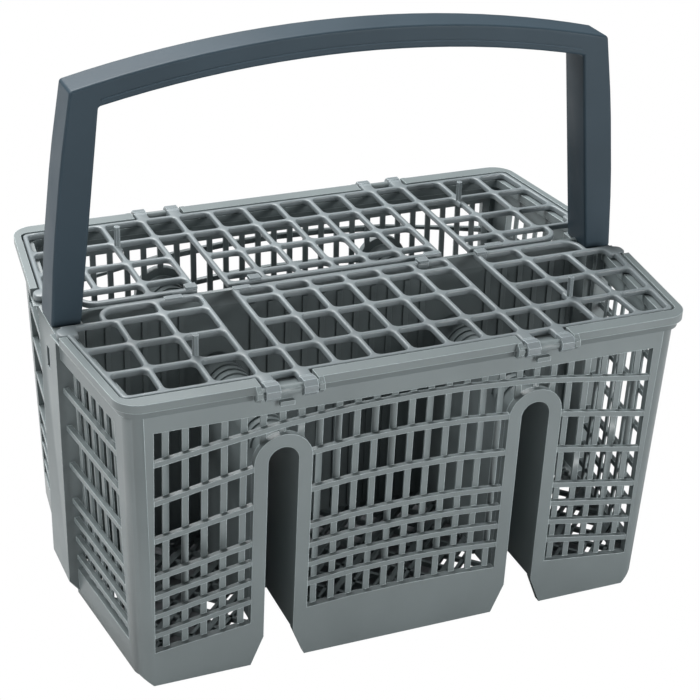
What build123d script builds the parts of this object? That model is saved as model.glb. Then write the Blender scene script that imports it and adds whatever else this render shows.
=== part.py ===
from build123d import *
import os
from math import cos, radians, sin, sqrt, tan

# Dishwasher cutlery basket: a moulded grille basket with two hinged grid lids and a carrying handle.
# Millimetres. +X runs along the basket, the front faces -Y, +Z is up.
# The origin is the centre of the footprint, on the plane that the feet stand on.

# Plan of the walls at the floor, and their draft
HALF_DEPTH = 72.8
CORNER_X = 106.3
SHOULDER_X = 113.0
SHOULDER_Y = 12.5
DRAFT = radians(2.0)
CORNER_RADIUS = 6.5
WALL = 3.0

# Rim: a lip over a smaller step, and a ledge inside for the lids
RIM_Z = 126.3
RIM_LIP = 3.3
RIM_OVERHANG = 3.1
STEP_HEIGHT = 3.0
STEP_OVERHANG = 1.4
LEDGE_INSET = 5.2
LEDGE_END_INSET = 4.6
RIM_NOTCH_Y = 22.0

# Grille: vertical bars behind, horizontal bars in front
BAR_RECESS = 0.2
BAR_SPLIT = 2.2
UPRIGHT_WIDTH = 2.5
CROSSBAR_HEIGHT = 2.2
UPRIGHT_PITCH = 7.35
WINDOW_TOP = 112.2
WINDOW_HALF_X = 100.5
SILL_Z = 15.6
SILL_RISE = 8.0
CROSSBAR_RISE = 12.2
CROSSBAR_TOP_Z = 98.8
TALL_PITCH = 16.4
TALL_ROWS = 3
SHORT_PITCH = 8.8
SHORT_ROWS = 3
END_WINDOW_MARGIN = 8.8
END_UPRIGHTS = 6
END_SILL_Z = 17.5
END_SKIRT_Z = 5.0
BAR_LAP = 2.0
KINK_COLUMN = 3

# Slots through the basket, for the rack's wires
SLOT_X = 51.4
SLOT_WIDTH = 12.0
SLOT_TOP = 97.0
SLOT_BORDER = 5.4
TUNNEL_WALL = 1.8
FLARE_Z = 12.5
FLARE_X = 5.0
FOOT_CORNER_X = 101.0

# Floor and inner walls
FLOOR_Z = 13.0
FLOOR_BAR = 2.4
FLOOR_PITCH = 17.0
FLOOR_ANGLE = 45.0
DIVIDER = 1.8
DIVIDER_TOP = 125.0

# End pillars, which take the handle
PILLAR_X = 118.8
PILLAR_BACK_X = 110.5
PILLAR_FOOT_X = 117.4
PILLAR_FOOT_Z = 12.4
PILLAR_TOE_X = 113.7
PILLAR_TOE_Z = 7.6
PILLAR_WALL = 2.4
SOCKET_BACK_X = 106.8
SOCKET_LOW_Z = 95.0
CATCH_WIDTH = 4.0
CATCH_LOW = 103.0
CATCH_HIGH = 112.0

# Handle
HANDLE_HALF_WIDTH = 7.9
HANDLE_LEG = 11.6
HANDLE_LEG_BOW = 1.4
HANDLE_BAR = 9.1
HANDLE_TOP_X = 108.4
HANDLE_TOP_Z = 214.9
HANDLE_RISE = 12.9
HANDLE_INNER_X = 98.0
HANDLE_INNER_Z = 208.0
LUG_RECESS = 0.8
TONGUE_HALF_WIDTH = 5.4
TONGUE_THICK = 5.0
TONGUE_LENGTH = 26.0
TONGUE_GAP = 0.15

# Lids
LID_BAR = 2.0
LID_THICK = 2.6
LID_DROP = 0.3
LID_INSET = 3.9
LID_GAP = 1.0
LID_END_INSET = 0.5
LID_END_GAP = 0.8
LID_INNER_Y = 1.5
LID_INNER_BAR = 2.6
LID_PITCH = 15.0
LID_MIDDLE_COLUMNS = 6
LID_SIDE_X = (59.4, 77.2, 95.2)
LID_SIDE_ROWS = (13.8, 33.6, 53.7)
LID_MIDDLE_ROWS = (11.1, 31.2, 53.7)
LID_TONGUE_X = (-105.0, 100.6)
LID_TONGUE_ROUND = 8.0

# Hinges: a rod in a gap of the rim, and two clips on the lid
ROD_OUTSET = 3.59
ROD_Z = 123.6
ROD_RADIUS = 1.8
ROD_CLEARANCE = 0.08
CLIP_WALL = 1.2
CLIP_SIDES = 8
CLIP_WIDTH = 5.2
CLIP_SPREAD = 14.2
HINGE_GAP = 21.6
CHEEK = 2.0
TAB_WIDTH = 5.5
TAB_LOW_Z = 115.8
TAB_HIGH_Z = 117.6

# Small features on the lids
POST_X = 76.5
POST_Y = 50.5
POST_HEIGHT = 8.2
POST_RADIUS = 1.3
POST_SIDES = 6
WEB_LENGTH = 4.0
CATCH_X = (-60.9, -34.8)
CATCH_BLOCK = (4.6, 3.4, 1.2)
KEEPER_X = (42.0, 69.8)
KEEPER_BLOCK = (7.0, 2.6, 0.4)
EAR_X = 119.3
EAR_NEAR_Y = 14.0
EAR_FAR_Y = 21.0
EAR_ROUND = 3.0

# A length past every part, and a height under the feet, for cuts
SPAN = 400.0
BELOW = -1.0
SIDES = (-1, 1)
STANDING = (Align.CENTER, Align.CENTER, Align.MIN)

# Heights and places that follow from the sizes above
LEDGE_Z = RIM_Z - LID_THICK - LID_DROP
RIM_Y = HALF_DEPTH + RIM_Z * tan(DRAFT)
ROD_Y = RIM_Y + ROD_OUTSET
END_WINDOW_FAR = HALF_DEPTH - END_WINDOW_MARGIN
LID_LOW_Z = RIM_Z - LID_THICK
CLIP_BORE = ROD_RADIUS + ROD_CLEARANCE
CLIP_RADIUS = CLIP_BORE + CLIP_WALL
TONGUE_X = PILLAR_X - HANDLE_LEG / 2


def grow(z):
    """How far a drafted wall has moved outwards at height z."""
    return z * tan(DRAFT)


def end_slope():
    """How much an end wall falls back for each millimetre away from the pillar."""
    return (SHOULDER_X - CORNER_X) / (HALF_DEPTH - SHOULDER_Y)


def end_normal(sx, sy, draft=DRAFT):
    """Outward normal of one half of an end wall."""
    length = sqrt(1 + end_slope() ** 2)
    return Vector(sx * cos(draft) / length, sy * end_slope() * cos(draft) / length, -sin(draft))


def half_space(point, normal):
    """A large block that fills everything beyond a plane."""
    return Plane(origin=point, z_dir=normal) * Box(SPAN, SPAN, SPAN, align=STANDING)


def round_corners(solid, radius):
    """Rounds the four corners between the long walls and the end walls."""
    corners = [
        edge
        for edge in solid.edges()
        if abs(edge.center().Y) > HALF_DEPTH / 2 and abs((edge @ 1).Z - (edge @ 0).Z) > 0.9 * edge.length
    ]
    return fillet(corners, radius)


def hull(inset, low, high, draft=DRAFT, base=0.0, end_inset=None):
    """The basket's plan, set in by a distance, between two heights.

    The plan is that of the walls at the height called base, and end_inset is for ends set in differently.
    """
    end_inset = inset if end_inset is None else end_inset
    start = grow(base) - inset / cos(draft)
    points = [
        (-HALF_DEPTH - start - low * tan(draft), low),
        (HALF_DEPTH + start + low * tan(draft), low),
        (HALF_DEPTH + start + high * tan(draft), high),
        (-HALF_DEPTH - start - high * tan(draft), high),
    ]
    solid = extrude(Plane.YZ * make_face(Polyline(*points, close=True)), SPAN, both=True)
    for sx in SIDES:
        for sy in SIDES:
            normal = end_normal(sx, sy, draft)
            shoulder = Vector(sx * (SHOULDER_X + grow(base)), sy * SHOULDER_Y, 0)
            solid -= half_space(shoulder - normal * end_inset, normal)
    return round_corners(solid, max(CORNER_RADIUS - inset, LID_BAR))


def rim_plan(inset, low, high, end_inset=None):
    """The upright plan at the rim, set in by a distance, between two heights."""
    return hull(inset, low, high, draft=0.0, base=RIM_Z, end_inset=end_inset)


def block(low, high):
    """A box given by two opposite corners."""
    size = [b - a for a, b in zip(low, high)]
    return Pos(*low) * Box(*size, align=(Align.MIN, Align.MIN, Align.MIN))


def prism_y(*points):
    """A prism from front to back, from an outline in X and Z."""
    return extrude(Plane.XZ * make_face(Polyline(*points, close=True)), SPAN / 2, both=True)


def bow(x, rise):
    """Height that a bowed bar gains at x over its height at the ends of the window."""
    return rise * (1 - (x / WINDOW_HALF_X) ** 2)


def bowed_band(half_x, z_low, z_high, rise_low, rise_high):
    """A band in the XZ plane with bowed lower and upper edges, as a prism through both long walls.

    The bow runs in straight lengths that meet behind the slots and behind bars, where no kink shows.
    """
    inner = UPRIGHT_PITCH * KINK_COLUMN
    knots = [-half_x, -SLOT_X, -inner, 0, inner, SLOT_X, half_x]
    low = [(x, z_low + bow(x, rise_low)) for x in knots]
    high = [(half_x, z_high), (-half_x, z_high)]
    if rise_high:
        high = [(x, z_high + bow(x, rise_high)) for x in reversed(knots)]
    return prism_y(*low, *high)


def arch(centre_x, half_width, top, low):
    """A slot with a round top, as a face in the XZ plane."""
    spring = top - half_width
    outline = [
        Line((centre_x - half_width, low), (centre_x + half_width, low)),
        Line((centre_x + half_width, low), (centre_x + half_width, spring)),
        ThreePointArc((centre_x + half_width, spring), (centre_x, top), (centre_x - half_width, spring)),
        Line((centre_x - half_width, spring), (centre_x - half_width, low)),
    ]
    return Plane.XZ * make_face(outline)


def arch_prism(sx, grow_by, low):
    """One slot, widened by a distance, as a prism from front to back."""
    half = SLOT_WIDTH / 2 + grow_by
    return extrude(arch(sx * SLOT_X, half, SLOT_TOP + grow_by, low), SPAN / 2, both=True)


def crossbar_heights():
    """Centre heights of the horizontal bars at the corners of the basket, from the top down."""
    heights = [CROSSBAR_TOP_Z - TALL_PITCH * i for i in range(TALL_ROWS + 1)]
    return heights + [heights[-1] - SHORT_PITCH * (i + 1) for i in range(SHORT_ROWS)]


def upright_columns():
    """Places of the vertical bars along the long walls."""
    count = int(WINDOW_HALF_X // UPRIGHT_PITCH)
    return [UPRIGHT_PITCH * i for i in range(-count, count + 1)]


def end_columns():
    """Places of the vertical bars along half an end wall."""
    pitch = (END_WINDOW_FAR - SHOULDER_Y) / (END_UPRIGHTS + 1)
    return [SHOULDER_Y + pitch * (i + 1) for i in range(END_UPRIGHTS)]


def end_pair(y_low, y_high, z_low, z_high):
    """Blocks that cross both end walls, in front and behind."""
    inner = CORNER_X / 2
    blocks = []
    for sx in SIDES:
        for sy in SIDES:
            xs = sorted((sx * inner, sx * SPAN / 2))
            ys = sorted((sy * y_low, sy * y_high))
            blocks.append(block((xs[0], ys[0], z_low), (xs[1], ys[1], z_high)))
    return blocks


def walls():
    """The solid walls with their window openings and the arched slots."""
    skin = hull(0, 0, RIM_Z - RIM_LIP) - hull(WALL, BELOW, RIM_Z)
    opening = bowed_band(WINDOW_HALF_X, SILL_Z, WINDOW_TOP, SILL_RISE, 0)
    for sx in SIDES:
        opening -= arch_prism(sx, SLOT_BORDER, BELOW)
    skin -= opening
    for end in end_pair(SHOULDER_Y, END_WINDOW_FAR, END_SILL_Z, WINDOW_TOP):
        skin -= end
    return skin


def grille():
    """The bars in the windows: bowed crossbars in front of plain uprights, within the wall's thickness."""
    top = WINDOW_TOP + BAR_LAP / 2
    front_layer = hull(BAR_RECESS, 0, top) - hull(BAR_SPLIT, BELOW, RIM_Z)
    back_layer = hull(BAR_SPLIT, 0, top) - hull(WALL, BELOW, RIM_Z)
    lap = BAR_LAP / 2
    crossbars = []
    for z in crossbar_heights():
        low = z - CROSSBAR_HEIGHT / 2
        high = z + CROSSBAR_HEIGHT / 2
        crossbars.append(bowed_band(WINDOW_HALF_X + lap, low, high, CROSSBAR_RISE, CROSSBAR_RISE))
        crossbars += end_pair(SHOULDER_Y - lap, END_WINDOW_FAR + lap, low, high)
    half = UPRIGHT_WIDTH / 2
    uprights = []
    for x in upright_columns():
        over_slot = abs(abs(x) - SLOT_X) < SLOT_WIDTH / 2 + SLOT_BORDER
        low = SLOT_TOP if over_slot else SILL_Z - lap
        uprights.append(block((x - half, -SPAN / 2, low), (x + half, SPAN / 2, top)))
    for y in end_columns():
        uprights += end_pair(y - half, y + half, END_SILL_Z - lap, top)
    bars = front_layer & Compound(crossbars)
    bars += back_layer & Compound(uprights)
    for sx in SIDES:
        bars -= arch_prism(sx, SLOT_BORDER - lap, BELOW)
    return bars


def slots():
    """What is cut away for the rack's wires, with flared mouths at the feet, and the outer foot corners."""
    cuts = []
    half = SLOT_WIDTH / 2
    mouth = half + FLARE_X * (FLARE_Z - BELOW) / FLARE_Z
    rise = END_SKIRT_Z
    for sx in SIDES:
        x = sx * SLOT_X
        cuts.append(arch_prism(sx, 0, BELOW))
        cuts.append(prism_y((x - mouth, BELOW), (x + mouth, BELOW), (x + half, FLARE_Z), (x - half, FLARE_Z)))
        x = sx * FOOT_CORNER_X
        far = sx * SPAN
        cuts.append(prism_y((x, BELOW), (x, 0), (x + sx * rise, rise), (far, rise), (far, BELOW)))
    return cuts


def inner_walls():
    """The two tunnels round the slots and the divider along the middle."""
    inside = hull(WALL / 2, FLOOR_Z, LEDGE_Z)
    tunnels = Compound([arch_prism(sx, TUNNEL_WALL, FLOOR_Z) for sx in SIDES])
    divider = block((-SOCKET_BACK_X, -DIVIDER / 2, FLOOR_Z), (SOCKET_BACK_X, DIVIDER / 2, DIVIDER_TOP))
    return (inside & tunnels) + divider


def floor_bars():
    """Slanting bars that make the floor of the bays."""
    inside = hull(WALL / 2, 0, RIM_Z)
    step = FLOOR_PITCH / sin(radians(FLOOR_ANGLE))
    count = int((CORNER_X + HALF_DEPTH) // step)
    bars = []
    for i in range(-count, count + 1):
        bar = Rot(0, 0, FLOOR_ANGLE) * Box(SPAN, FLOOR_BAR, FLOOR_BAR, align=STANDING)
        bars.append(Pos(step * (i + 0.5), 0, FLOOR_Z) * bar)
    return inside & Compound(bars)


def rim():
    """The rim with the ledge for the lids, open at the ends for their ears."""
    lip = rim_plan(-RIM_OVERHANG, RIM_Z - RIM_LIP, RIM_Z)
    step = rim_plan(-STEP_OVERHANG, RIM_Z - RIM_LIP - STEP_HEIGHT, RIM_Z - RIM_LIP)
    ring = lip + step - rim_plan(LEDGE_INSET, 0, SPAN, LEDGE_END_INSET)
    ring -= rim_plan(LID_INSET - LID_GAP, LEDGE_Z, SPAN, LID_END_INSET - LID_END_GAP)
    ring -= block((-SPAN, -RIM_NOTCH_Y, LEDGE_Z), (SPAN, RIM_NOTCH_Y, SPAN))
    ring -= block((-SPAN, -SHOULDER_Y, 0), (SPAN, SHOULDER_Y, SPAN))
    face = RIM_Y
    pocket = HALF_DEPTH / 2
    gap = HINGE_GAP / 2
    for sx in SIDES:
        for sy in SIDES:
            for near, low in ((pocket, LEDGE_Z), (face, 0)):
                ys = sorted((sy * near, sy * SPAN))
                ring -= block((sx * SLOT_X - gap, ys[0], low), (sx * SLOT_X + gap, ys[1], SPAN))
    return ring


def along_x(radius, length):
    """A cylinder along X, on the axis of the back hinge, centred on x = 0."""
    return Pos(0, ROD_Y, ROD_Z) * Rot(0, 90, 0) * Cylinder(radius, length)


def hinge_rod():
    """One hinge on the body, at x = 0 on the back: the rod, its two cheeks and the tab under it."""
    face = HALF_DEPTH + grow(TAB_LOW_Z)
    inner = RIM_Y - WALL / 2
    span = HINGE_GAP / 2
    rod = along_x(ROD_RADIUS, HINGE_GAP + CHEEK)
    low = RIM_Z - RIM_LIP - STEP_HEIGHT
    nose = ROD_Y + ROD_RADIUS
    outline = [
        (inner, low),
        (nose - CHEEK, low),
        (nose, low + CHEEK),
        (nose, RIM_Z - CHEEK),
        (nose - CHEEK, RIM_Z),
        (inner, RIM_Z),
    ]
    cheek = extrude(Plane.YZ * make_face(Polyline(*outline, close=True)), CHEEK)
    rod += Pos(span, 0, 0) * cheek
    rod += Pos(-span - CHEEK, 0, 0) * cheek
    half = TAB_WIDTH / 2
    return rod + block((-half, face - WALL / 2, TAB_LOW_Z), (half, ROD_Y - ROD_RADIUS, TAB_HIGH_Z))


def pillar():
    """The pillar at the +X end: a channel with a socket for the handle's tongue on top."""
    outline = [
        (PILLAR_BACK_X, PILLAR_TOE_Z),
        (PILLAR_TOE_X, PILLAR_TOE_Z),
        (PILLAR_FOOT_X, PILLAR_FOOT_Z),
        (PILLAR_X, LEDGE_Z),
        (PILLAR_BACK_X, LEDGE_Z),
    ]
    column = extrude(Plane.XZ * make_face(Polyline(*outline, close=True)), SHOULDER_Y, both=True)
    hollow_y = SHOULDER_Y - PILLAR_WALL
    face_x = PILLAR_FOOT_X - PILLAR_WALL
    column -= block((0, -hollow_y, PILLAR_FOOT_Z), (face_x, hollow_y, SOCKET_LOW_Z))
    column += block((SOCKET_BACK_X, -hollow_y, SOCKET_LOW_Z), (face_x, hollow_y, LEDGE_Z))
    half_x = TONGUE_THICK / 2 + TONGUE_GAP
    half_y = TONGUE_HALF_WIDTH + TONGUE_GAP
    low = LEDGE_Z - TONGUE_LENGTH - TONGUE_GAP
    column -= block((TONGUE_X - half_x, -half_y, low), (TONGUE_X + half_x, half_y, SPAN))
    return column - block((TONGUE_X, -CATCH_WIDTH / 2, CATCH_LOW), (SPAN, CATCH_WIDTH / 2, CATCH_HIGH))


def basket_body():
    """The basket as one moulding."""
    body = walls() + rim()
    hollow_y = SHOULDER_Y - PILLAR_WALL
    body -= block((-SPAN, -hollow_y, BELOW), (SPAN, hollow_y, SPAN))
    body += pillar()
    body += Rot(0, 0, 180) * pillar()
    body += inner_walls()
    body += floor_bars()
    body += grille()
    body -= slots()
    for sx in SIDES:
        for turn in (0, 180):
            body += Rot(0, 0, turn) * Pos(sx * SLOT_X, 0, 0) * hinge_rod()
    return body


def handle():
    """The bail: two leaning legs and a bowed grip in one piece, with a snap tongue under each leg."""
    top_z = HANDLE_TOP_Z + HANDLE_RISE
    foot_x = PILLAR_X - HANDLE_LEG
    middle = ((PILLAR_X + HANDLE_TOP_X) / 2 + HANDLE_LEG_BOW, (LEDGE_Z + HANDLE_TOP_Z) / 2)
    right = [
        ThreePointArc((PILLAR_X, LEDGE_Z), middle, (HANDLE_TOP_X, HANDLE_TOP_Z)),
        Polyline((HANDLE_INNER_X, HANDLE_INNER_Z), (foot_x, LEDGE_Z), (PILLAR_X, LEDGE_Z)),
    ]
    left = [mirror(line, Plane.YZ) for line in right]
    under_z = top_z - HANDLE_BAR
    grip = [
        ThreePointArc((HANDLE_TOP_X, HANDLE_TOP_Z), (0, top_z), (-HANDLE_TOP_X, HANDLE_TOP_Z)),
        ThreePointArc((-HANDLE_INNER_X, HANDLE_INNER_Z), (0, under_z), (HANDLE_INNER_X, HANDLE_INNER_Z)),
    ]
    bail = extrude(Plane.XZ * make_face(Curve() + right + left + grip), HANDLE_HALF_WIDTH, both=True)
    lug_x = PILLAR_X - LUG_RECESS
    lug_y = CATCH_WIDTH / 2 - TONGUE_GAP
    for sx in SIDES:
        xs = sorted(sx * (TONGUE_X + side * TONGUE_THICK / 2) for side in SIDES)
        low = (xs[0], -TONGUE_HALF_WIDTH, LEDGE_Z - TONGUE_LENGTH)
        bail += block(low, (xs[1], TONGUE_HALF_WIDTH, LEDGE_Z))
        xs = sorted((sx * TONGUE_X, sx * lug_x))
        bail += block((xs[0], -lug_y, CATCH_LOW + TONGUE_GAP), (xs[1], lug_y, CATCH_HIGH - TONGUE_GAP))
    return bail


def lid_cells():
    """The openings of the back lid, each as (x_low, x_high, y_low, y_high)."""
    half = LID_BAR / 2
    inner = LID_INNER_Y + LID_INNER_BAR
    middle_x = [LID_PITCH * (i - LID_MIDDLE_COLUMNS / 2) for i in range(LID_MIDDLE_COLUMNS + 1)]
    cells = []
    for left, right in zip(middle_x, middle_x[1:]):
        cells.append((left + half, right - half, inner, LID_MIDDLE_ROWS[0] - half))
        for low, high in zip(LID_MIDDLE_ROWS, LID_MIDDLE_ROWS[1:] + (SPAN,)):
            cells.append((left + half, right - half, low + half, high - half))
    for left, right in zip(LID_SIDE_X, LID_SIDE_X[1:] + (SPAN,)):
        for low, high in zip(LID_SIDE_ROWS, LID_SIDE_ROWS[1:] + (SPAN,)):
            cells.append((left + half, right - half, low + half, high - half))
    cells.append((LID_SIDE_X[0] + half, LID_SIDE_X[1] - half, inner, LID_SIDE_ROWS[0] - half))
    cells.append((middle_x[-1] + half, LID_SIDE_X[0] - half, LID_SIDE_ROWS[-1] + half, SPAN))
    cells += [(-high, -low, near, far) for low, high, near, far in cells if low > middle_x[-1]]
    return cells


def rounded_end(x_near, x_far, y_low, y_high, radius):
    """A tall block whose corner at x_far and y_low is rounded."""
    xs = sorted((x_near, x_far))
    solid = block((xs[0], y_low, 0), (xs[1], y_high, SPAN))
    corner = solid.edges().filter_by(Axis.Z).sort_by_distance((x_far, y_low, SPAN / 2))[0]
    return fillet(corner, radius)


def lid_tongue(tip_x):
    """One end of the strip beside the divider: its outline, and the opening in it."""
    root_x = LID_SIDE_X[1] if tip_x > 0 else -LID_SIDE_X[1]
    bar = LID_BAR if tip_x > 0 else -LID_BAR
    high = LID_SIDE_ROWS[0] - LID_BAR / 2
    outline = rounded_end(root_x, tip_x, LID_INNER_Y, high, LID_TONGUE_ROUND)
    inner_y = LID_INNER_Y + LID_INNER_BAR
    opening = rounded_end(root_x + bar / 2, tip_x - bar, inner_y, high, LID_TONGUE_ROUND - LID_BAR)
    return outline, opening


def clip_prism(apothem):
    """An eight-sided prism round the axis of the back hinge, as long as a clip is wide, centred on x = 0."""
    section = Rot(0, 0, 180 / CLIP_SIDES) * RegularPolygon(apothem, CLIP_SIDES, major_radius=False)
    return extrude(Plane.YZ * Pos(ROD_Y, ROD_Z) * section, CLIP_WIDTH / 2, both=True)


def lid_clip():
    """One hinge clip at x = 0 on the back: an arm and a hook that is open towards the wall below."""
    half = CLIP_WIDTH / 2
    edge = RIM_Y - LID_INSET - LID_BAR / 2
    clip = clip_prism(CLIP_RADIUS) - block((-half, 0, 0), (half, ROD_Y, LID_LOW_Z))
    clip += block((-half, edge, LID_LOW_Z), (half, ROD_Y, RIM_Z))
    return clip - clip_prism(CLIP_BORE)


def lid():
    """The back lid: a flat grid with clips, ears, catch blocks and two posts."""
    half = LID_BAR / 2
    plate = rim_plan(LID_INSET, LID_LOW_Z, RIM_Z, LID_END_INSET)
    plate &= block((-SPAN, LID_INNER_Y, 0), (SPAN, SPAN, SPAN))
    clear = rim_plan(LID_INSET + LID_BAR, 0, SPAN, LID_END_INSET + LID_BAR)
    holes = [block((x0, y0, 0), (x1, y1, SPAN)) for x0, x1, y0, y1 in lid_cells()]
    plate -= clear & Compound(holes)
    notch_x = (LID_PITCH * LID_MIDDLE_COLUMNS / 2 + half, LID_SIDE_X[0] - half)
    for tip_x in LID_TONGUE_X:
        outline, opening = lid_tongue(tip_x)
        xs = sorted((LID_SIDE_X[1] if tip_x > 0 else -LID_SIDE_X[1], 2 * tip_x))
        beyond = block((xs[0], 0, 0), (xs[1], LID_SIDE_ROWS[0] - half, SPAN))
        plate -= beyond - outline
        plate -= opening
    for sx in SIDES:
        xs = sorted(sx * x for x in notch_x)
        plate -= block((xs[0], 0, 0), (xs[1], LID_SIDE_ROWS[-1] - half, SPAN))
        xs = sorted((sx * (PILLAR_TOE_X - LID_BAR), sx * EAR_X))
        ear = block((xs[0], EAR_NEAR_Y, LID_LOW_Z), (xs[1], EAR_FAR_Y, RIM_Z))
        tips = [e for e in ear.edges().filter_by(Axis.Z) if abs(e.center().X) > PILLAR_X]
        plate += fillet(tips, EAR_ROUND)
        post = extrude(RegularPolygon(POST_RADIUS, POST_SIDES), POST_HEIGHT)
        plate += Pos(sx * POST_X, POST_Y, RIM_Z) * post
        web = Box(2 * POST_RADIUS, 2 * WEB_LENGTH, LID_THICK, align=STANDING)
        plate += Pos(sx * POST_X, POST_Y, LID_LOW_Z) * web
        for side in SIDES:
            plate += Pos(sx * SLOT_X + side * CLIP_SPREAD / 2, 0, 0) * lid_clip()
    for places, (width, depth, rise) in ((CATCH_X, CATCH_BLOCK), (KEEPER_X, KEEPER_BLOCK)):
        for x in places:
            low = (x - width / 2, LID_INNER_Y, LID_LOW_Z)
            plate += block(low, (x + width / 2, LID_INNER_Y + depth, RIM_Z + rise))
    return plate


back_lid = lid()
nodes = {
    "basket_body": basket_body(),
    "handle": handle(),
    "back_lid": back_lid,
    "front_lid": Rot(0, 0, 180) * back_lid,
}
os.makedirs("parts", exist_ok=True)
for name, solid in nodes.items():
    export_step(solid, f"parts/{name}.step")
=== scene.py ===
from math import cos, pi, radians, sin

import bmesh
import bpy
from mathutils import Matrix, Vector
from mathutils.geometry import delaunay_2d_cdt


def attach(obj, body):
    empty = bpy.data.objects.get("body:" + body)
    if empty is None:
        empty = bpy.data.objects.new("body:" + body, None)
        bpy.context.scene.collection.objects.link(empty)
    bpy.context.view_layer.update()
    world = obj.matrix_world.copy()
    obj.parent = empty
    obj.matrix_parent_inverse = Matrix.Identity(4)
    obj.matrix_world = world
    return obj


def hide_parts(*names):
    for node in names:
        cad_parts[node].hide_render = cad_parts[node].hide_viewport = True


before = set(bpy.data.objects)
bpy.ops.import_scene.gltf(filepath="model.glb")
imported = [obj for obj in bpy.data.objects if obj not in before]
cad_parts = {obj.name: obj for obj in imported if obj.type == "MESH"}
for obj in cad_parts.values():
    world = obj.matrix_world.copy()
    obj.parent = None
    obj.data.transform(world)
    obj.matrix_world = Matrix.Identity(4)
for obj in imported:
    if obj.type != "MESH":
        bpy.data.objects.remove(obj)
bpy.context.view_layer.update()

MM = 0.001

# Camera, as fitted to the photograph
CAMERA_PLACE = Vector((-261.2, -618.3, 439.6)) * MM
CAMERA_AZIMUTH = radians(23.37)
CAMERA_ELEVATION = radians(27.47)
CAMERA_ROLL = radians(2.07)
SENSOR_WIDTH = 36.0
LENS = 95.7

# Edges of the mouldings, and which points and facets count as one
BODY_EDGE = 0.34 * MM
HANDLE_EDGE = 1.1 * MM
EDGE_SEGMENTS = 3
WELD = 0.002 * MM
FLAT_ANGLE = radians(1.0)
CREASE_ANGLE = radians(32.0)

# Plates of the lids, which are made anew with rounded bars
LID_LOW = 123.7 * MM
LID_HIGH = 126.3 * MM
LID_HINGE_Y = 77.6 * MM
LID_EDGE = 0.65 * MM
LID_EDGE_STEPS = 3
CELL_ROUND = 2.8 * MM
OUTLINE_ROUND = 1.0 * MM
ROUND_STEPS = 6
CORNER_SHARE = 0.45  # most of a side that one round corner takes
MITRE_LIMIT = 0.5  # keeps a sharp corner from moving far when its outline is moved
DOWNWARD = -0.9  # a face whose normal has less than this along Z looks down
LEVEL = 0.01 * MM
SKIN = 0.03 * MM
CUT_TOLERANCE = WELD / 10
PLAN_TOLERANCE = LEVEL / 100
WITH_HOLES = 2  # asks for triangles inside the outlines, apart from their holes

# Fine ribs inside the basket, on the divider and round the tunnels of the slots
RIB_PITCH = 7.35 * MM
RIB_WIDTH = 2.2 * MM
RIB_DEPTH = 0.8 * MM
RIB_LOW = 16.0 * MM
RIB_HIGH = 118.0 * MM
DIVIDER_FACE = 0.9 * MM
TUNNEL_X = 51.4 * MM
TUNNEL_HALF = 7.8 * MM
TUNNEL_SPRING = 91.0 * MM
RING_DEPTH = 0.7 * MM
RING_WIDTH = 1.5 * MM
RING_PLACES = (13.0 * MM, 17.0 * MM, 21.0 * MM, 55.0 * MM, 59.0 * MM, 63.0 * MM)
RING_STEPS = 32

# Floor bars, and the bays that they lie in
FLOOR_LOW = 13.0 * MM
FLOOR_BAR = 1.4 * MM
FLOOR_RISE = 2.2 * MM
FLOOR_PITCH = 8.5 * MM
BAY_HALF_Y = 71.0 * MM
BAY_END_X = 104.0 * MM
BAY_WAIST_X = 110.0 * MM
BAY_WAIST_Y = 12.0 * MM
LINE_REACH = 1.0  # metres of a bar's line to either side, before it is cut to a bay
PARALLEL = 1e-9  # below this a line runs along the side of a bay

# Highest crossbar of the long walls: its height, and the share of its bow at places along X
BAR_NEAR_Y = 65.0 * MM
BAR_END_Z = 98.8 * MM
BAR_HALF = 1.1 * MM
BAR_RISE = 12.2 * MM
BAR_DROP = 2.1 * MM
BAR_KNOTS = ((0.0, 1.0), (22.05 * MM, 0.95186), (TUNNEL_X, 0.73843), (100.5 * MM, 0.0))

# What counts as the inside of the walls, which lean outwards, and the painted shade given to it: a darker
# colour and less gloss
INSIDE_X = 102.5 * MM
INSIDE_Y = 69.0 * MM
INSIDE_Z = 119.0 * MM
INSIDE_FADE = 0.4 * MM
WALL_SLOPE = 0.035
SLOT_SKIN = 6.9 * MM
INSIDE_SHADE = 0.85
INSIDE_SHINE = 0.12

# Lines along the grip
GRIP_RISE = 10.7 * MM
GRIP_END = Vector((97.0, 210.6)) * MM
GRIP_FACE_Y = 7.9 * MM
GRIP_LINE = 0.5 * MM
GRIP_STEPS = 48

# Ground under the basket, painted dark as painted shade, and the slots' mouths where the floor stays
# white
GROUND_HALF_X = 98.0 * MM
GROUND_HALF_Y = 68.0 * MM
MOUTH_HALF = 16.0 * MM
MOUTH_Y = 26.0 * MM

# Colours as linear values
BASKET_GREY = (0.168, 0.198, 0.203)
LID_GREY = (0.178, 0.207, 0.218)
HANDLE_SLATE = (0.034, 0.055, 0.072)
FLOOR_WHITE = (0.60, 0.60, 0.60)
GROUND_SHADE = (0.16, 0.17, 0.18)

# Plastics: clouds in the colour, smears in the gloss, a fine grain, and a painted highlight that makes
# the edges pale
CLOUD_SCALE, CLOUD_DETAIL = 28.0, 4.0
SMEAR_SCALE, SMEAR_DETAIL = 60.0, 3.0
GRAIN_SCALE, GRAIN_DETAIL = 1800.0, 2.0
GRAIN_DEPTH = 0.05 * MM
NOISE_RANGE = (0.3, 0.7)
FULL_RANGE = (0.0, 1.0)
TINT_RANGE = (0.93, 1.07)
GLOSS_RANGE = (-0.03, 0.04)
EDGE_SAMPLES = 4
EDGE_COSINES = (1.0, 0.85)
HIGHLIGHT_GAIN, HIGHLIGHT_LIFT = 4.4, 0.03

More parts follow.
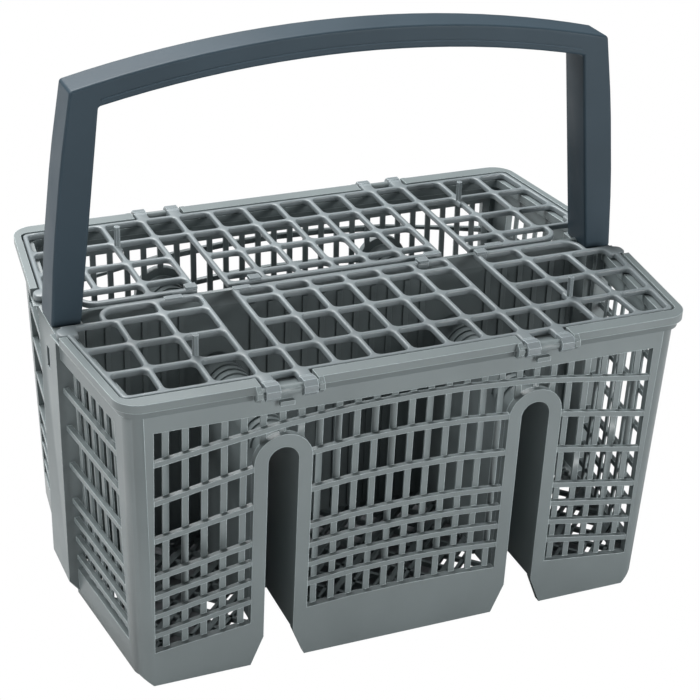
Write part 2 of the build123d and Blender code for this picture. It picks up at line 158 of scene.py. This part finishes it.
# Floor, surround and lights; of each light the name, place, size and power
FLOOR_REACH = 6.0
FLOOR_ROUGHNESS = 0.9
GLOW_STRENGTH = 1.0
SURROUND_WHITE = (1.0, 1.0, 1.0)
SURROUND_STRENGTH = 0.12
LIGHT_TARGET = (0.0, 0.0, 0.1)
LIGHTS = (
    ("back_top", (-0.2, 0.8, 1.3), 0.9, 37.0),
    ("right_front", (0.9, -1.5, 0.45), 0.7, 22.0),
    ("left", (-1.05, 0.0, 1.05), 0.2, 9.0),
)


def added(name, data):
    """A new object in the scene."""
    item = bpy.data.objects.new(name, data)
    bpy.context.scene.collection.objects.link(item)
    return item


def noise(nodes, links, coordinates, scale, detail):
    """A noise value on the object's own coordinates."""
    texture = nodes.new("ShaderNodeTexNoise")
    texture.inputs["Scale"].default_value = scale
    texture.inputs["Detail"].default_value = detail
    links.new(coordinates.outputs["Object"], texture.inputs["Vector"])
    return texture.outputs["Fac"]


def map_range(nodes, links, source, old, new):
    """Maps a value from an old range to a new one; each range is two numbers."""
    node = nodes.new("ShaderNodeMapRange")
    for name, value in zip(("From Min", "From Max", "To Min", "To Max"), (*old, *new)):
        node.inputs[name].default_value = value
    links.new(source, node.inputs["Value"])
    return node.outputs["Result"]


def mix_colours(nodes, links, factor, first, second):
    """A blend of two colours; each is a socket or three linear values."""
    node = nodes.new("ShaderNodeMix")
    node.data_type = "RGBA"
    links.new(factor, node.inputs["Factor"])
    for name, colour in (("A", first), ("B", second)):
        if isinstance(colour, bpy.types.NodeSocket):
            links.new(colour, node.inputs[name])
        else:
            node.inputs[name].default_value = (*colour, 1.0)
    return node.outputs["Result"]


def plastic(name, colour, roughness, shine, grain, edge_highlight):
    """Moulded plastic: slightly clouded colour, uneven gloss, a fine grain and a painted highlight on the
    edges.
    """
    material = bpy.data.materials.new(name)
    material.use_nodes = True
    nodes, links = material.node_tree.nodes, material.node_tree.links
    shader = nodes["Principled BSDF"]
    shader.inputs["Specular IOR Level"].default_value = shine
    coordinates = nodes.new("ShaderNodeTexCoord")

    clouds = noise(nodes, links, coordinates, CLOUD_SCALE, CLOUD_DETAIL)
    shade = map_range(nodes, links, clouds, NOISE_RANGE, FULL_RANGE)
    darker, paler = [[share * c for c in colour] for share in TINT_RANGE]
    tint = mix_colours(nodes, links, shade, darker, paler)

    round_edge = nodes.new("ShaderNodeBevel")
    round_edge.samples = EDGE_SAMPLES
    round_edge.inputs["Radius"].default_value = BODY_EDGE
    geometry = nodes.new("ShaderNodeNewGeometry")
    along = nodes.new("ShaderNodeVectorMath")
    along.operation = "DOT_PRODUCT"
    links.new(round_edge.outputs["Normal"], along.inputs[0])
    links.new(geometry.outputs["Normal"], along.inputs[1])
    # Painted highlight: the colour turns paler along the rounded edges, as if light caught them
    edge = map_range(nodes, links, along.outputs["Value"], EDGE_COSINES, (0.0, edge_highlight))
    highlight_colour = [min(1.0, HIGHLIGHT_GAIN * c + HIGHLIGHT_LIFT) for c in colour]
    links.new(mix_colours(nodes, links, edge, tint, highlight_colour), shader.inputs["Base Color"])

    smears = noise(nodes, links, coordinates, SMEAR_SCALE, SMEAR_DETAIL)
    gloss = [roughness + change for change in GLOSS_RANGE]
    links.new(map_range(nodes, links, smears, NOISE_RANGE, gloss), shader.inputs["Roughness"])

    fine = noise(nodes, links, coordinates, GRAIN_SCALE, GRAIN_DETAIL)
    bump = nodes.new("ShaderNodeBump")
    bump.inputs["Strength"].default_value = grain
    bump.inputs["Distance"].default_value = GRAIN_DEPTH
    links.new(fine, bump.inputs["Height"])
    links.new(round_edge.outputs["Normal"], bump.inputs["Normal"])
    links.new(bump.outputs["Normal"], shader.inputs["Normal"])
    return material


def math_node(nodes, links, operation, first, second=None):
    """One arithmetic step of a material; the inputs are sockets or numbers."""
    node = nodes.new("ShaderNodeMath")
    node.operation = operation
    for socket, value in zip(node.inputs, (first, second)):
        if isinstance(value, float):
            socket.default_value = value
        elif value is not None:
            links.new(value, socket)
    return node.outputs["Value"]


def paint_inside_shade(material, colour):
    """Paints shade on a material within the walls, apart from the slots: a darker colour and less gloss.
    """
    nodes, links = material.node_tree.nodes, material.node_tree.links
    shader = nodes["Principled BSDF"]
    position = nodes.new("ShaderNodeSeparateXYZ")
    links.new(nodes.new("ShaderNodeNewGeometry").outputs["Position"], position.inputs["Vector"])

    def step(operation, first, second=None):
        return math_node(nodes, links, operation, first, second)

    x, y, z = [position.outputs[axis] for axis in "XYZ"]
    away_x, away_y = step("ABSOLUTE", x), step("ABSOLUTE", y)
    spread = step("MULTIPLY", z, WALL_SLOPE)
    from_side = step("SUBTRACT", step("ADD", spread, INSIDE_Y), away_y)
    from_end = step("SUBTRACT", step("ADD", spread, INSIDE_X), away_x)
    below_rim = step("SUBTRACT", INSIDE_Z, z)
    across = step("SUBTRACT", away_x, TUNNEL_X)
    above = step("MAXIMUM", step("SUBTRACT", z, TUNNEL_SPRING), 0.0)
    radius = step("SQRT", step("ADD", step("MULTIPLY", across, across), step("MULTIPLY", above, above)))
    from_slot = step("SUBTRACT", radius, SLOT_SKIN)
    nearest = step("MINIMUM", step("MINIMUM", from_side, from_end), step("MINIMUM", below_rim, from_slot))
    depth = map_range(nodes, links, nearest, (0.0, INSIDE_FADE), FULL_RANGE)
    # Painted shade: the colour is darkened and the gloss lowered on what lies inside the walls
    base, gloss = shader.inputs["Base Color"], shader.inputs["Specular IOR Level"]
    darker = [INSIDE_SHADE * c for c in colour]
    links.new(mix_colours(nodes, links, depth, base.links[0].from_socket, darker), base)
    links.new(map_range(nodes, links, depth, FULL_RANGE, (gloss.default_value, INSIDE_SHINE)), gloss)


def show(piece_name, mesh, node, material, body):
    """Puts a mesh in the place of a solid."""
    mesh.materials.clear()
    mesh.materials.append(material)
    mesh.set_sharp_from_angle(angle=CREASE_ANGLE)
    piece = added(piece_name, mesh)
    piece.matrix_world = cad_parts[node].matrix_world
    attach(piece, body)
    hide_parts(node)
    return piece


def joined(node):
    """A working copy of a solid's mesh with its facets joined."""
    work = bmesh.new()
    work.from_mesh(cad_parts[node].data)
    bmesh.ops.remove_doubles(work, verts=work.verts, dist=WELD)
    work.normal_update()
    return work


def soft(edge):
    """Whether an edge lies within a rounded surface."""
    return len(edge.link_faces) == 2 and FLAT_ANGLE < edge.calc_face_angle() < CREASE_ANGLE


def lower_top_bar(work):
    """Lowers the highest crossbar of the long walls in the middle, which opens the row above it."""
    for vertex in work.verts:
        away, wall = abs(vertex.co.x), abs(vertex.co.y)
        if wall < BAR_NEAR_Y or away > BAR_KNOTS[-1][0]:
            continue
        for (near, first), (far, second) in zip(BAR_KNOTS, BAR_KNOTS[1:]):
            if near <= away <= far:
                share = first + (second - first) * (away - near) / (far - near)
        if abs(vertex.co.z - BAR_END_Z - BAR_RISE * share) < BAR_HALF + LEVEL:
            drop = BAR_DROP * share
            vertex.co.z -= drop
            vertex.co.y *= 1 - drop * WALL_SLOPE / wall


def smoothed(node, piece_name, material, body, edge=0.0, reshape=None):
    """A copy of a solid with smooth curves; it can be reshaped first and get rounded edges."""
    mesh = bpy.data.meshes.new(piece_name)
    work = joined(node)
    if reshape:
        reshape(work)
    bmesh.ops.dissolve_limit(work, angle_limit=FLAT_ANGLE, verts=work.verts, edges=work.edges)
    work.normal_update()
    for face in work.faces:
        face.smooth = edge > 0 or sum(soft(side) for side in face.edges) > 1
    work.to_mesh(mesh)
    work.free()
    piece = show(piece_name, mesh, node, material, body)
    if edge:
        bevel = piece.modifiers.new("edges", "BEVEL")
        bevel.width = edge
        bevel.segments = EDGE_SEGMENTS
        bevel.limit_method = "ANGLE"
        bevel.angle_limit = CREASE_ANGLE
        bevel.harden_normals = True


def outlines(work):
    """The closed outlines of a lid's underside, as lists of points with the material on their left."""
    facing = [face for face in work.faces if face.normal.z < DOWNWARD]
    under = [face for face in facing if abs(face.calc_center_median().z - LID_LOW) < LEVEL]
    chosen = set(under)
    following = {}
    for face in under:
        for loop in face.loops:
            if sum(other in chosen for other in loop.edge.link_faces) == 1:
                following[loop.link_loop_next.vert.index] = loop.vert.index
    places = {vertex.index: vertex.co.xy.copy() for vertex in work.verts}
    rings = []
    while following:
        start, current = following.popitem()
        ring = [start]
        while current != start:
            ring.append(current)
            current = following.pop(current)
        rings.append([places[index] for index in ring])
    return rings


def signed_area(ring):
    """Area of an outline, positive if it runs anticlockwise."""
    return sum(a.cross(b) for a, b in zip(ring, ring[1:] + ring[:1])) / 2


def rounded(ring, radius):
    """An outline without needless points and with rounded corners."""
    count = len(ring)
    corners = []
    for i in range(count):
        before, here, after = ring[i - 1], ring[i], ring[(i + 1) % count]
        if abs((here - before).angle(after - here)) > FLAT_ANGLE:
            corners.append(here)
    points = []
    count = len(corners)
    for i in range(count):
        before, here, after = corners[i - 1], corners[i], corners[(i + 1) % count]
        reach = min(radius, CORNER_SHARE * (here - before).length, CORNER_SHARE * (after - here).length)
        start = here + (before - here).normalized() * reach
        end = here + (after - here).normalized() * reach
        for step in range(ROUND_STEPS + 1):
            t = step / ROUND_STEPS
            points.append(start * (1 - t) ** 2 + here * (2 * t * (1 - t)) + end * t ** 2)
    return points


def inset(ring, distance):
    """An outline moved into the material."""
    moved = []
    count = len(ring)
    for i in range(count):
        first = (ring[i] - ring[i - 1]).normalized()
        second = (ring[(i + 1) % count] - ring[i]).normalized()
        side = Vector((-first.y - second.y, first.x + second.x)).normalized()
        spread = max(MITRE_LIMIT, side.dot(Vector((-first.y, first.x))))
        moved.append(ring[i] + side * (distance / spread))
    return moved


def lid_plate(work, rings):
    """Adds a plate with rounded edges to a working mesh."""
    turns = [pi / 2 * i / LID_EDGE_STEPS for i in range(LID_EDGE_STEPS + 1)]
    low, high = LID_LOW + SKIN, LID_HIGH - SKIN
    levels = [(SKIN + LID_EDGE * (1 - sin(t)), low + LID_EDGE * (1 - cos(t))) for t in turns]
    levels += [(SKIN + LID_EDGE * (1 - cos(t)), high - LID_EDGE * (1 - sin(t))) for t in turns]
    lower, upper, plan, loops = [], [], [], []
    for ring in rings:
        rows = [[work.verts.new((*point, z)) for point in inset(ring, depth)] for depth, z in levels]
        count = len(ring)
        for row, above in zip(rows, rows[1:]):
            for i in range(count):
                j = (i + 1) % count
                work.faces.new((row[i], row[j], above[j], above[i])).smooth = True
        loops.append(list(range(len(plan), len(plan) + count)))
        plan += ring
        lower += rows[0]
        upper += rows[-1]
    _, _, triangles, sources, _, _ = delaunay_2d_cdt(plan, [], loops, WITH_HOLES, PLAN_TOLERANCE)
    for triangle in triangles:
        corners = [sources[corner][0] for corner in triangle]
        work.faces.new([upper[corner] for corner in corners])
        work.faces.new([lower[corner] for corner in reversed(corners)])


def lid(node, piece_name, material):
    """A lid: its plate made anew with rounded bars, and the clips, posts and blocks of the solid."""
    work = joined(node)
    work.verts.index_update()
    rings = outlines(work)
    outer = max(rings, key=lambda ring: abs(signed_area(ring)))
    rings = [rounded(ring, OUTLINE_ROUND if ring is outer else CELL_ROUND) for ring in rings]
    cuts = [((0, 0, z), (0, 0, 1)) for z in (LID_LOW - LEVEL / 2, LID_HIGH + LEVEL / 2)]
    cuts += [((0, y, 0), (0, 1, 0)) for y in (-LID_HINGE_Y, LID_HINGE_Y)]
    for place, normal in cuts:
        geometry = work.verts[:] + work.edges[:] + work.faces[:]
        bmesh.ops.bisect_plane(work, geom=geometry, dist=CUT_TOLERANCE, plane_co=place, plane_no=normal)
    plain = []
    for face in work.faces:
        level = all(LID_LOW - LEVEL < vertex.co.z < LID_HIGH + LEVEL for vertex in face.verts)
        on_plate = all(abs(vertex.co.y) < LID_HINGE_Y + LEVEL for vertex in face.verts)
        if level and on_plate:
            plain.append(face)
    bmesh.ops.delete(work, geom=plain, context="FACES")
    bmesh.ops.holes_fill(work, edges=[edge for edge in work.edges if edge.is_boundary], sides=0)
    lid_plate(work, rings)
    mesh = bpy.data.meshes.new(piece_name)
    work.to_mesh(mesh)
    work.free()
    show(piece_name, mesh, node, material, node)


def add_piece(name, vertices, faces, material):
    """A fine detail of the basket as a mesh of its own."""
    mesh = bpy.data.meshes.new(name)
    mesh.from_pydata(vertices, [], faces)
    mesh.materials.append(material)
    piece = added(name, mesh)
    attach(piece, "basket")


def add_bar(vertices, faces, outline, offset):
    """Adds a prism to a mesh: an outline of points, and the same outline moved by an offset."""
    start, count = len(vertices), len(outline)
    points, offset = [Vector(point) for point in outline], Vector(offset)
    facing = sum((a.cross(b) for a, b in zip(points, points[1:] + points[:1])), Vector())
    if facing.dot(offset) > 0:
        points.reverse()
    vertices += [tuple(point) for point in points]
    vertices += [tuple(point + offset) for point in points]
    faces.append(tuple(range(start, start + count)))
    faces.append(tuple(range(start + 2 * count - 1, start + count - 1, -1)))
    for i in range(count):
        j = (i + 1) % count
        faces.append((start + j, start + i, start + count + i, start + count + j))


def divider_ribs(material):
    """Upright ribs on both faces of the divider."""
    vertices, faces = [], []
    half = RIB_WIDTH / 2
    last = int(BAY_END_X // RIB_PITCH)
    for i in range(-last, last + 1):
        x = i * RIB_PITCH
        if abs(abs(x) - TUNNEL_X) < TUNNEL_HALF + half:
            continue
        low, high = -DIVIDER_FACE - RIB_DEPTH, DIVIDER_FACE + RIB_DEPTH
        corners = ((x - half, low), (x + half, low), (x + half, high), (x - half, high))
        foot = [(*corner, RIB_LOW) for corner in corners]
        add_bar(vertices, faces, foot, (0.0, 0.0, RIB_HIGH - RIB_LOW))
    add_piece("divider_ribs", vertices, faces, material)


def tunnel_rings(material):
    """Low ribs round the arched tunnels, close to the long walls and to the divider."""
    vertices, faces = [], []
    inner, outer = TUNNEL_HALF - RING_DEPTH, TUNNEL_HALF + RING_DEPTH
    turns = [pi * i / RING_STEPS for i in range(RING_STEPS + 1)]
    for centre in (-TUNNEL_X, TUNNEL_X):
        for y in [side * place for side in (-1.0, 1.0) for place in RING_PLACES]:
            corners = [(outer, t) for t in turns] + [(inner, t) for t in reversed(turns)]
            outline = [(centre + r * cos(t), y, TUNNEL_SPRING + r * sin(t)) for r, t in corners]
            add_bar(vertices, faces, outline, (0.0, RING_WIDTH, 0.0))
    add_piece("tunnel_rings", vertices, faces, material)


def clip_to(polygon, start, direction):
    """The part of a line inside a convex polygon, as two lengths along it, or None."""
    low, high = -LINE_REACH, LINE_REACH
    for a, b in zip(polygon, polygon[1:] + polygon[:1]):
        normal = Vector((a.y - b.y, b.x - a.x))
        speed = normal.dot(direction)
        room = normal.dot(a - start)
        if abs(speed) < PARALLEL:
            if room > 0:
                return None
        elif speed > 0:
            low = max(low, room / speed)
        else:
            high = min(high, room / speed)
    return (low, high) if high > low else None


def floor_lattice(material):
    """Floor bars that cross the moulded ones."""
    middle = TUNNEL_X - TUNNEL_HALF
    side = TUNNEL_X + TUNNEL_HALF
    bays = [[(-middle, -BAY_HALF_Y), (middle, -BAY_HALF_Y), (middle, BAY_HALF_Y), (-middle, BAY_HALF_Y)]]
    right = [(side, -BAY_HALF_Y), (BAY_END_X, -BAY_HALF_Y), (BAY_WAIST_X, -BAY_WAIST_Y)]
    right += [(BAY_WAIST_X, BAY_WAIST_Y), (BAY_END_X, BAY_HALF_Y), (side, BAY_HALF_Y)]
    bays.append(right)
    bays.append([(-x, -y) for x, y in right])
    rows = int((BAY_WAIST_X + BAY_HALF_Y) // FLOOR_PITCH)
    vertices, faces = [], []
    for turn in (-1.0, 1.0):
        direction = Vector((1.0, turn)).normalized()
        across = Vector((1.0, -turn)).normalized()
        step = across * (FLOOR_BAR / 2)
        for i in range(-rows, rows + 1):
            start = across * (FLOOR_PITCH * (i + 0.5))
            for bay in bays:
                reach = clip_to([Vector(point) for point in bay], start, direction)
                if not reach:
                    continue
                ends = [start + direction * length for length in reach]
                corners = (ends[0] - step, ends[1] - step, ends[1] + step, ends[0] + step)
                foot = [(*corner, FLOOR_LOW) for corner in corners]
                add_bar(vertices, faces, foot, (0.0, 0.0, FLOOR_RISE))
    add_piece("floor_lattice", vertices, faces, material)


def grip_lines(material):
    """A fine raised line along the front and the back of the grip."""
    vertices, faces = [], []
    points = []
    for i in range(GRIP_STEPS + 1):
        t = 2.0 * i / GRIP_STEPS - 1.0
        points.append((GRIP_END.x * t, GRIP_END.y + GRIP_RISE * (1.0 - t * t)))
    for side in (-1.0, 1.0):
        y = side * GRIP_FACE_Y - GRIP_LINE / 2
        outline = [(x, y, z) for x, z in points] + [(x, y, z + GRIP_LINE) for x, z in reversed(points)]
        add_bar(vertices, faces, outline, (0.0, GRIP_LINE, 0.0))
    add_piece("grip_lines", vertices, faces, material)


def add_camera():
    """The camera at the photograph's place."""
    azimuth, elevation, roll = CAMERA_AZIMUTH, CAMERA_ELEVATION, CAMERA_ROLL
    forward = Vector((sin(azimuth) * cos(elevation), cos(azimuth) * cos(elevation), -sin(elevation)))
    right = Vector((cos(azimuth), -sin(azimuth), 0.0))
    up = right.cross(forward)
    axis_x = cos(roll) * right + sin(roll) * up
    axis_y = -sin(roll) * right + cos(roll) * up
    data = bpy.data.cameras.new("camera")
    data.sensor_width = SENSOR_WIDTH
    data.lens = LENS
    camera = added("camera", data)
    turn = Matrix((axis_x, axis_y, -forward)).transposed().to_4x4()
    camera.matrix_world = Matrix.Translation(CAMERA_PLACE) @ turn
    bpy.context.scene.camera = camera


def add_light(name, place, target, size, power):
    """A soft square light that looks at a point."""
    data = bpy.data.lights.new(name, "AREA")
    data.size = size
    data.energy = power
    light = added(name, data)
    light.location = place
    light.rotation_euler = (Vector(target) - Vector(place)).to_track_quat("-Z", "Y").to_euler()


def ground_mask(nodes, links):
    """One on the open floor and in the slots' mouths, nothing on the ground under the basket."""
    position = nodes.new("ShaderNodeSeparateXYZ")
    links.new(nodes.new("ShaderNodeNewGeometry").outputs["Position"], position.inputs["Vector"])

    def step(operation, first, second=None):
        return math_node(nodes, links, operation, first, second)

    away_x, away_y = [step("ABSOLUTE", position.outputs[axis]) for axis in "XY"]
    outside_x = step("GREATER_THAN", away_x, GROUND_HALF_X)
    outside_y = step("GREATER_THAN", away_y, GROUND_HALF_Y)
    from_slot = step("ABSOLUTE", step("SUBTRACT", away_x, TUNNEL_X))
    near_slot = step("LESS_THAN", from_slot, MOUTH_HALF)
    near_wall = step("GREATER_THAN", away_y, MOUTH_Y)
    mouth = step("MULTIPLY", near_slot, near_wall)
    return step("MAXIMUM", step("MAXIMUM", outside_x, outside_y), mouth)


def add_floor():
    """A floor that the camera sees white, apart from the ground under the basket, which is painted dark
    as painted shade.
    """
    reach = FLOOR_REACH
    corners = [(-reach, -reach, 0.0), (reach, -reach, 0.0), (reach, reach, 0.0), (-reach, reach, 0.0)]
    mesh = bpy.data.meshes.new("floor")
    mesh.from_pydata(corners, [], [(0, 1, 2, 3)])
    material = bpy.data.materials.new("floor_white")
    material.use_nodes = True
    mesh.materials.append(material)
    nodes, links = material.node_tree.nodes, material.node_tree.links
    shader = nodes["Principled BSDF"]
    shader.inputs["Roughness"].default_value = FLOOR_ROUGHNESS
    open_ground = ground_mask(nodes, links)
    # Painted shade: the ground under the basket gets a dark grey colour instead of white
    colour = mix_colours(nodes, links, open_ground, GROUND_SHADE, FLOOR_WHITE)
    links.new(colour, shader.inputs["Base Color"])
    glow = nodes.new("ShaderNodeEmission")
    glow.inputs["Strength"].default_value = GLOW_STRENGTH
    rays = nodes.new("ShaderNodeLightPath")
    seen = math_node(nodes, links, "MULTIPLY", rays.outputs["Is Camera Ray"], open_ground)
    mix = nodes.new("ShaderNodeMixShader")
    links.new(seen, mix.inputs["Fac"])
    links.new(shader.outputs["BSDF"], mix.inputs[1])
    links.new(glow.outputs["Emission"], mix.inputs[2])
    links.new(mix.outputs["Shader"], nodes["Material Output"].inputs["Surface"])
    floor = added("floor", mesh)


def add_studio():
    """The floor, a white surround, and soft lights from the back, the right and the left."""
    add_floor()
    world = bpy.data.worlds.new("surround")
    world.use_nodes = True
    background = world.node_tree.nodes["Background"]
    background.inputs["Color"].default_value = (*SURROUND_WHITE, 1.0)
    background.inputs["Strength"].default_value = SURROUND_STRENGTH
    bpy.context.scene.world = world
    for name, place, size, power in LIGHTS:
        add_light(name, place, LIGHT_TARGET, size, power)


# The last number of each plastic is the strength of its painted edge highlight
basket_plastic = plastic("basket_plastic", BASKET_GREY, roughness=0.40, shine=0.5, grain=0.25, edge_highlight=0.8)
# The basket's plastic gets painted shade inside the walls
paint_inside_shade(basket_plastic, BASKET_GREY)
lid_plastic = plastic("lid_plastic", LID_GREY, roughness=0.38, shine=0.5, grain=0.25, edge_highlight=0.8)
handle_plastic = plastic("handle_plastic", HANDLE_SLATE, roughness=0.48, shine=0.2, grain=0.35, edge_highlight=0.5)

smoothed("basket_body", "basket", basket_plastic, "basket", reshape=lower_top_bar)
smoothed("handle", "bail", handle_plastic, "basket", edge=HANDLE_EDGE)
lid("front_lid", "lid_front", lid_plastic)
lid("back_lid", "lid_back", lid_plastic)
divider_ribs(basket_plastic)
tunnel_rings(basket_plastic)
floor_lattice(basket_plastic)
grip_lines(handle_plastic)

add_studio()
add_camera()
bpy.context.scene.view_settings.view_transform = "Standard"
